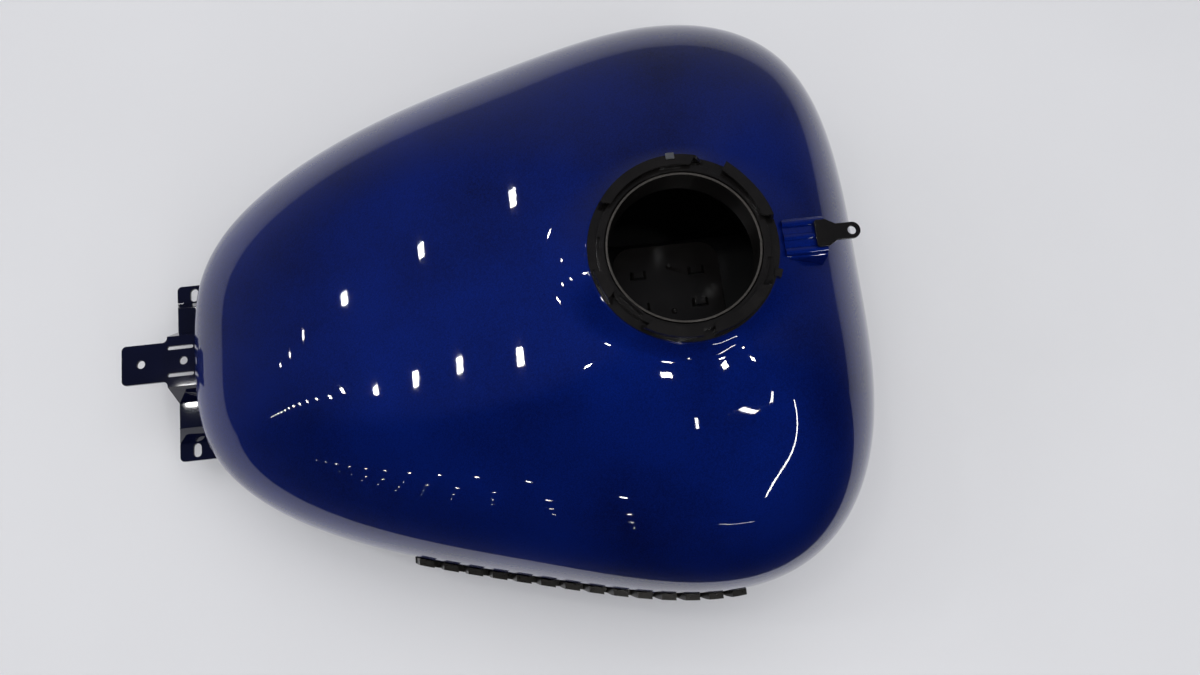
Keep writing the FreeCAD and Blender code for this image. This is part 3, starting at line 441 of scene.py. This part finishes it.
# The arch that is cut through both ends of the shell for the tunnel, along the outside of the pan's own arch.
TUNNEL_BASE_HALF = 0.066
TUNNEL_TOP_HALF = 0.044
TUNNEL_REAR_Z = 0.074
TUNNEL_FLAT_Z = 0.150
TUNNEL_FLAT_X = 0.350
TUNNEL_CORNER_R = 0.026
TUNNEL_OVERRUN = 0.060
SEAM_OVERRUN = 0.008
TUNNEL_ARC_STEPS = 10


def arch_section(top):
    """The tunnel's arch as (y, z) points from the right foot over to the left one."""
    lean = math.atan2(top + SEAM_OVERRUN, TUNNEL_BASE_HALF - TUNNEL_TOP_HALF)
    tangent = TUNNEL_CORNER_R * math.tan(lean / 2)
    centre_y, centre_z = TUNNEL_TOP_HALF - tangent, top - TUNNEL_CORNER_R
    right = [(-TUNNEL_BASE_HALF, -SEAM_OVERRUN)]
    for k in range(TUNNEL_ARC_STEPS + 1):
        angle = math.pi / 2 + lean - lean * k / TUNNEL_ARC_STEPS
        right.append((-centre_y + TUNNEL_CORNER_R * math.cos(angle),
                      centre_z + TUNNEL_CORNER_R * math.sin(angle)))
    return right + [(-y, z) for y, z in reversed(right)]


tunnel_rise = (TUNNEL_FLAT_Z - TUNNEL_REAR_Z) / (TUNNEL_FLAT_X - SHELL_REAR)
stations = [(-TUNNEL_OVERRUN + SHELL_REAR, TUNNEL_REAR_Z - tunnel_rise * TUNNEL_OVERRUN),
            (TUNNEL_FLAT_X, TUNNEL_FLAT_Z),
            (SHELL_LENGTH + TUNNEL_OVERRUN, TUNNEL_FLAT_Z)]
section = arch_section(TUNNEL_REAR_Z)
bm = bmesh.new()
ring = bmesh.ops.create_circle(bm, segments=len(section), radius=TUNNEL_TOP_HALF, cap_ends=True)["verts"]
for row, (along, top) in enumerate(stations):
    if row:
        ring = extrude_ring(bm, ring)
    for vertex, (y, z) in zip(ring, arch_section(top)):
        vertex.co = (DATUM_X + along, y, z)
bmesh.ops.contextual_create(bm, geom=ring)
bmesh.ops.recalc_face_normals(bm, faces=bm.faces)
cutter = new_piece("tunnel_cutter", bm)
add_modifier(shell, "BOOLEAN", object=cutter, operation="DIFFERENCE", solver="EXACT")
bake_modifiers(shell)
bpy.data.objects.remove(cutter)
shade(shell)
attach(shell, "tank")
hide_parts("outer_shell")


# Bottom pan and tunnel. A second pressing seam-welded into the shell: a flat floor each side of the arch that
# clears the frame's backbone. It is painted underneath and rust-proofed on the fuel side.
MERGE_DISTANCE = 0.000005
FLAT_ANGLE = math.radians(0.6)
FLAT_SIDE = 0.96
FUEL_SIDE_RISE = 0.02
MIST_SIZE = 0.0455


def copy_of_node(node, name, *materials):
    """A merged copy of a CAD node's mesh, ready for finer edges."""
    bm = bmesh.new()
    bm.from_mesh(frame["nodes"][node].data)
    bmesh.ops.remove_doubles(bm, verts=bm.verts, dist=MERGE_DISTANCE)
    bmesh.ops.dissolve_limit(bm, angle_limit=FLAT_ANGLE, verts=bm.verts, edges=bm.edges)
    piece = new_piece(name, bm, *materials)
    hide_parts(node)
    return piece


def finish_piece(piece, body, edge, segments=2):
    """Rounds the piece's edges, shades it smooth and hangs it on its body."""
    add_modifier(piece, "BEVEL", width=edge, segments=segments, limit_method="ANGLE", angle_limit=SHARP_ANGLE,
                 use_clamp_overlap=True, harden_normals=True)
    shade(piece)
    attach(piece, body)


overspray, shader = new_material("blue_overspray_on_black_primer")
# A dry satin mist of the blue over dark primer, in soft clouds a few centimetres across.
place = add_node(overspray, "ShaderNodeTexCoord").outputs["Object"]
mist = add_node(overspray, "ShaderNodeTexNoise",
                inputs={"Vector": place, "Scale": 1 / MIST_SIZE, "Detail": 4.0})
tone = add_node(overspray, "ShaderNodeMix", {"data_type": "RGBA"},
                {"Factor": mist.outputs["Fac"], "A": linear("#080A18"), "B": linear("#0B1650")})
set_shader(overspray, shader, Base_Color=tone.outputs["Result"], Roughness=0.68)

pan = copy_of_node("tunnel_pan", "tunnel_pan_sheet", overspray, black_inside)
shade(pan)
# Faces that look up are the fuel side. Bends are shaded smooth; the flats, which look nearly straight up,
# down or sideways, aren't.
for face in pan.data.polygons:
    face.material_index = 1 if face.normal.z > FUEL_SIDE_RISE else 0
    face.use_smooth = max(abs(face.normal.y), abs(face.normal.z)) < FLAT_SIDE
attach(pan, "tank")


# Neck flange. Turned steel with a seat and a rounded lip round the bore, welded into the shell and coated in
# black electrocoat. The lip's top faces are a lighter grey: a painted highlight for the thin line of light
# that the rolled lip catches.
LIP_HIGHLIGHT_Z = 0.2595
DUST_SIZE = 0.0167
LIP_MOTTLE_SIZE = 0.00143

electrocoat, shader = new_material("black_electrocoat_satin")
# Even satin black, with dust that greys it a little and dulls its gloss in patches a centimetre or two wide.
place = add_node(electrocoat, "ShaderNodeTexCoord").outputs["Object"]
dust = add_node(electrocoat, "ShaderNodeTexNoise",
                inputs={"Vector": place, "Scale": 1 / DUST_SIZE, "Detail": 5.0})
tone = add_node(electrocoat, "ShaderNodeMix", {"data_type": "RGBA"},
                {"Factor": dust.outputs["Fac"], "A": linear("#090808"), "B": linear("#161413")})
gloss = add_node(electrocoat, "ShaderNodeMapRange",
                 inputs={"Value": dust.outputs["Fac"], "To Min": 0.16, "To Max": 0.3})
set_shader(electrocoat, shader, Base_Color=tone.outputs["Result"], Roughness=gloss.outputs["Result"])

lip_highlight_paint, shader = new_material("lip_painted_highlight_grey")
# A painted highlight: dull metallic grey that stands in for the thin line of light round the lip, mottled by
# noise drawn 1.4 mm across.
place = add_node(lip_highlight_paint, "ShaderNodeTexCoord").outputs["Object"]
lip_mottle = add_node(lip_highlight_paint, "ShaderNodeTexNoise",
                  inputs={"Vector": place, "Scale": 1 / LIP_MOTTLE_SIZE, "Detail": 3.0})
tone = add_node(lip_highlight_paint, "ShaderNodeMix", {"data_type": "RGBA"},
                {"Factor": lip_mottle.outputs["Fac"], "A": linear("#2B2927"), "B": linear("#625E5A")})
set_shader(lip_highlight_paint, shader, Base_Color=tone.outputs["Result"], Metallic=0.5, Roughness=0.35)

flange = copy_of_node("neck_ring", "neck_ring_flange", electrocoat, lip_highlight_paint)
# Faces above a set height take the lighter grey: a painted highlight along the lip.
for face in flange.data.polygons:
    face.material_index = 1 if face.center.z > LIP_HIGHLIGHT_Z else 0
finish_piece(flange, "tank", edge=0.0008, segments=3)


# Hook ring. A pressing spot-welded on the land: a flat base and five upright walls whose tops fold inward as
# hooks. The ends of each wall slope down to the base, and one wall stands free as a springy arm.
HOOK_BASE = (0.0615, 0.0675)
HOOK_BASE_SHEET = 0.0025
HOOK_SHEET = 0.0022
HOOK_OUTER_R = 0.066
HOOK_REACH = 0.0074
HOOK_RISE = 0.0115
# Each hook, in degrees round the neck: where its fold starts and ends, and how far each end runs past it.
HOOKS = [(79.0, 144.0, 9.0, 5.0),
         (15.0, 57.0, 5.0, 0.0),
         (-77.0, -36.0, 2.5, 9.0),
         (-119.0, -88.0, 6.0, 2.5),
         (-166.0, -152.0, 6.0, 5.0)]
HOOK_CORNERS = 6
HOOK_SINK = 0.0003
SHORTEST_SLOPE = 0.01
HOOK_FADE = 2.0
HOOK_STEP = 1.0
# The hook with no slope at its end is cut free of the base from here on, and springs up and outward.
FREE_ARM_FROM = 32.0
FREE_ARM_LIFT = 0.0016
FREE_ARM_SPLAY = 0.0022
SIDE_TAB_TURN = math.radians(-22.0)
SIDE_TAB_SIZE = (0.0052, 0.006, 0.0045)
SPIN_STEPS = 180


def hook_section(angle, hook):
    """The corners of a hook's section at an angle in degrees: up the wall, in along the fold and back."""
    start, end, before, after = hook
    past = max(start - angle, angle - end, 0.0)
    reach = HOOK_REACH - (HOOK_REACH - HOOK_SHEET) * min(1.0, past / HOOK_FADE)
    run = max((before if angle < start else after) - HOOK_FADE, SHORTEST_SLOPE)
    fall = min(1.0, max(0.0, past - HOOK_FADE) / run)
    free = after == 0.0 and angle > FREE_ARM_FROM
    low = NECK_LAND_Z + HOOK_BASE_SHEET + (FREE_ARM_LIFT if free else -HOOK_SINK)
    top = NECK_LAND_Z + HOOK_RISE - (HOOK_RISE - HOOK_BASE_SHEET) * fall * fall * (3 - 2 * fall)
    fold = max(top - HOOK_SHEET, low)
    sprung = (angle - FREE_ARM_FROM) / (end - FREE_ARM_FROM) if free else 0.0
    outer = HOOK_OUTER_R + FREE_ARM_SPLAY * sprung ** 2
    inner = outer - HOOK_SHEET
    corners = [(outer, low), (outer, top), (outer - reach, top),
               (outer - reach, fold), (inner, fold), (inner, low)]
    turn = math.radians(angle)
    return [Vector((NECK_X + r * math.cos(turn), r * math.sin(turn), z)) for r, z in corners]


bm = bmesh.new()
for hook in HOOKS:
    first, last = hook[0] - hook[2], hook[1] + hook[3]
    steps = round((last - first) / HOOK_STEP)
    ring = bmesh.ops.create_circle(bm, segments=HOOK_CORNERS, radius=HOOK_SHEET, cap_ends=True)["verts"]
    for k in range(steps + 1):
        if k:
            ring = extrude_ring(bm, ring)
        for vertex, point in zip(ring, hook_section(first + (last - first) * k / steps, hook)):
            vertex.co = point
    bmesh.ops.contextual_create(bm, geom=ring)
base_corners = [(HOOK_BASE[0], 0.0), (HOOK_BASE[1], 0.0),
                (HOOK_BASE[1], HOOK_BASE_SHEET), (HOOK_BASE[0], HOOK_BASE_SHEET)]
profile = [bm.verts.new((NECK_X + r, 0.0, NECK_LAND_Z + z)) for r, z in base_corners]
loop = [bm.edges.new((profile[k - 1], profile[k])) for k in range(4)]
bmesh.ops.spin(bm, geom=profile + loop, cent=(NECK_X, 0.0, 0.0), axis=(0.0, 0.0, 1.0), angle=2 * math.pi,
               steps=SPIN_STEPS, use_merge=True)
tab_r = HOOK_BASE[1] + SIDE_TAB_SIZE[0] / 2 - HOOK_SHEET
tab_middle = Matrix.Translation((NECK_X, 0.0, NECK_LAND_Z + SIDE_TAB_SIZE[2] / 2))
tab_out = Matrix.Translation((tab_r, 0.0, 0.0)) @ Matrix.Diagonal((*SIDE_TAB_SIZE, 1.0))
tab_place = tab_middle @ Matrix.Rotation(SIDE_TAB_TURN, 4, "Z") @ tab_out
bmesh.ops.create_cube(bm, size=1.0, matrix=tab_place)
bmesh.ops.recalc_face_normals(bm, faces=bm.faces)
hooks = new_piece("hook_ring_pressing", bm, electrocoat)
finish_piece(hooks, "tank", edge=0.0009, segments=3)
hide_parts("hook_ring")


# Lock ring. A flat steel ring, blanked and bent with three raised cams, an upright bar and notches for the
# spanner. It turns under the hooks to clamp the pump's cover.
lock_ring = copy_of_node("lock_ring", "lock_ring_cam", electrocoat)
finish_piece(lock_ring, "lock", edge=0.0004)


# Pump foot plate. Thin sheet spot-welded on top of the tunnel inside the tank, with four lanced bridges that
# the pump's foot slides under, and a dimple at each spot weld.
DIMPLE_SHARP = math.radians(12.0)

foot = copy_of_node("pump_foot_plate", "pump_foot_plate_pressing", electrocoat)
shade(foot, DIMPLE_SHARP)
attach(foot, "tank")


# Console tab. A black steel tab with one hole, welded on top of the front saddle, which the console's cover
# screws to.
console_tab = copy_of_node("front_tab", "front_tab_plate", electrocoat)
finish_piece(console_tab, "tank", edge=0.0005)


# Front pegs. Headed steel studs welded low on the nose, one a side, that locate the tank on the frame.
# They are coated with the neck's pieces.
for side in ("left", "right"):
    peg = copy_of_node(f"front_peg_{side}", f"front_peg_{side}_stud", electrocoat)
    finish_piece(peg, "tank", edge=0.0005)


# Locator tab. A small tab of plated steel, fixed on top of the hook ring on the left, which sets the way
# round that the pump's cover goes.
TURNED_SIZE = 0.00111

zinc, shader = new_material("zinc_plated_steel_turned")
# Pale bluish grey metal whose gloss comes and goes with the tool marks. Real tool marks are about 0.2 mm
# apart, too fine to show, so they are drawn at 1.1 mm.
place = add_node(zinc, "ShaderNodeTexCoord").outputs["Object"]
lines = add_node(zinc, "ShaderNodeTexNoise",
                 inputs={"Vector": place, "Scale": 1 / TURNED_SIZE, "Detail": 2.0})
gloss = add_node(zinc, "ShaderNodeMapRange",
                 inputs={"Value": lines.outputs["Fac"], "To Min": 0.25, "To Max": 0.45})
set_shader(zinc, shader, Base_Color=linear("#B9BBBC"), Metallic=1.0, Roughness=gloss.outputs["Result"])

locator = copy_of_node("locator_tab", "locator_tab_plate", zinc)
finish_piece(locator, "tank", edge=0.0003)


# Mount sleeves. Plated steel tubes pressed through the rubber mounts, so that the bolts can be tightened
# without crushing the rubber.
for side in ("left", "right"):
    sleeve = copy_of_node(f"mount_sleeve_{side}", f"mount_sleeve_{side}_tube", zinc)
    finish_piece(sleeve, "tank", edge=0.0003)


# Front saddle. A ribbed steel pressing welded on ahead of the neck and painted with the shell.
saddle = copy_of_node("front_saddle", "front_saddle_pressing", blue_paint)
finish_piece(saddle, "tank", edge=0.0005)


# Front brackets. Thick steel shelves welded to the walls of the tunnel's front mouth, one a side, with a
# hole for the rubber mount. They are painted with the shell.
for side in ("left", "right"):
    bracket = copy_of_node(f"front_bracket_{side}", f"front_bracket_{side}_shelf", blue_paint)
    finish_piece(bracket, "tank", edge=0.0006)


# Baffles. Pierced steel plates welded across each lobe inside the tank, which slow the fuel's slosh. They
# get the same rust-proofing as the inside of the shell.
for side in ("left", "right"):
    baffle = copy_of_node(f"baffle_{side}", f"baffle_{side}_plate", black_inside)
    finish_piece(baffle, "tank", edge=0.0003)


# Rear bracket. A stepped steel pressing welded to the tank's tail, with a tongue and two ears that bolt to
# the frame under the seat. It is painted black, and the shell's blue has drifted on to it.
DRIFT_SIZE = 0.0417

bracket_black, shader = new_material("gloss_black_paint_with_blue_overspray")
# Glossy black that turns faintly blue in soft patches, with sharp highlights along its steps.
place = add_node(bracket_black, "ShaderNodeTexCoord").outputs["Object"]
drift = add_node(bracket_black, "ShaderNodeTexNoise",
                 inputs={"Vector": place, "Scale": 1 / DRIFT_SIZE, "Detail": 4.0})
tone = add_node(bracket_black, "ShaderNodeMix", {"data_type": "RGBA"},
                {"Factor": drift.outputs["Fac"], "A": linear("#060710"), "B": linear("#0A0E2A")})
set_shader(bracket_black, shader, Base_Color=tone.outputs["Result"], Roughness=0.3, Specular_IOR_Level=0.0,
           Coat_Weight=1.0, Coat_Roughness=0.03)

rear_bracket = copy_of_node("rear_bracket", "rear_bracket_pressing", bracket_black)
finish_piece(rear_bracket, "tank", edge=0.0009, segments=3)


# Grommets. Moulded rubber mounts pushed into the front shelves, which keep the engine's shake out of the
# tank.
BLOOM_SIZE = 0.00556

rubber, shader = new_material("moulded_black_rubber")
# Dull black with a grey bloom in patches of a few millimetres, and almost no highlight.
place = add_node(rubber, "ShaderNodeTexCoord").outputs["Object"]
bloom = add_node(rubber, "ShaderNodeTexNoise",
                 inputs={"Vector": place, "Scale": 1 / BLOOM_SIZE, "Detail": 3.0})
tone = add_node(rubber, "ShaderNodeMix", {"data_type": "RGBA"},
                {"Factor": bloom.outputs["Fac"], "A": linear("#141414"), "B": linear("#262625")})
set_shader(rubber, shader, Base_Color=tone.outputs["Result"], Roughness=0.7)

for side in ("left", "right"):
    grommet = copy_of_node(f"grommet_{side}", f"grommet_{side}_mount", rubber)
    finish_piece(grommet, "tank", edge=0.0006)


# Side trims. A die-cast zinc strip on each flank, one thin rail with a row of plain slanted bars, blackened
# and left a little shiny.
CAST_SIZE = 0.003125

die_cast, shader = new_material("blackened_zinc_die_casting")
# Brown-black metal, patchy at the scale of the mould's texture, so that each bar glints unevenly.
place = add_node(die_cast, "ShaderNodeTexCoord").outputs["Object"]
cast = add_node(die_cast, "ShaderNodeTexNoise",
                inputs={"Vector": place, "Scale": 1 / CAST_SIZE, "Detail": 4.0})
tone = add_node(die_cast, "ShaderNodeMix", {"data_type": "RGBA"},
                {"Factor": cast.outputs["Fac"], "A": linear("#0B0A09"), "B": linear("#26231F")})
gloss = add_node(die_cast, "ShaderNodeMapRange",
                 inputs={"Value": cast.outputs["Fac"], "To Min": 0.2, "To Max": 0.4})
set_shader(die_cast, shader, Base_Color=tone.outputs["Result"], Metallic=0.5,
           Roughness=gloss.outputs["Result"])

for side in ("left", "right"):
    trim = copy_of_node(f"side_trim_{side}", f"side_trim_{side}_casting", die_cast)
    finish_piece(trim, "tank", edge=0.0009)


# Trim tapes. Black double-sided foam tape between each trim and the paint, which is all that holds the trim.
PORE_SIZE = 0.0004
PORE_DEPTH = 0.0001

foam, shader = new_material("acrylic_foam_tape")
# Flat black with open pores along its cut edge. Real pores are about 0.1 mm, so they are drawn at 0.4 mm.
place = add_node(foam, "ShaderNodeTexCoord").outputs["Object"]
cells = add_node(foam, "ShaderNodeTexVoronoi", inputs={"Vector": place, "Scale": 1 / PORE_SIZE})
tone = add_node(foam, "ShaderNodeMix", {"data_type": "RGBA"},
                {"Factor": cells.outputs["Distance"], "A": linear("#0F0F0F"), "B": linear("#232323")})
pores = add_node(foam, "ShaderNodeBump", inputs={"Height": cells.outputs["Distance"], "Distance": PORE_DEPTH})
set_shader(foam, shader, Base_Color=tone.outputs["Result"], Roughness=0.9, Normal=pores.outputs["Normal"])

for side in ("left", "right"):
    tape = copy_of_node(f"trim_tape_{side}", f"trim_tape_{side}_strip", foam)
    finish_piece(tape, "tank", edge=0.0002)
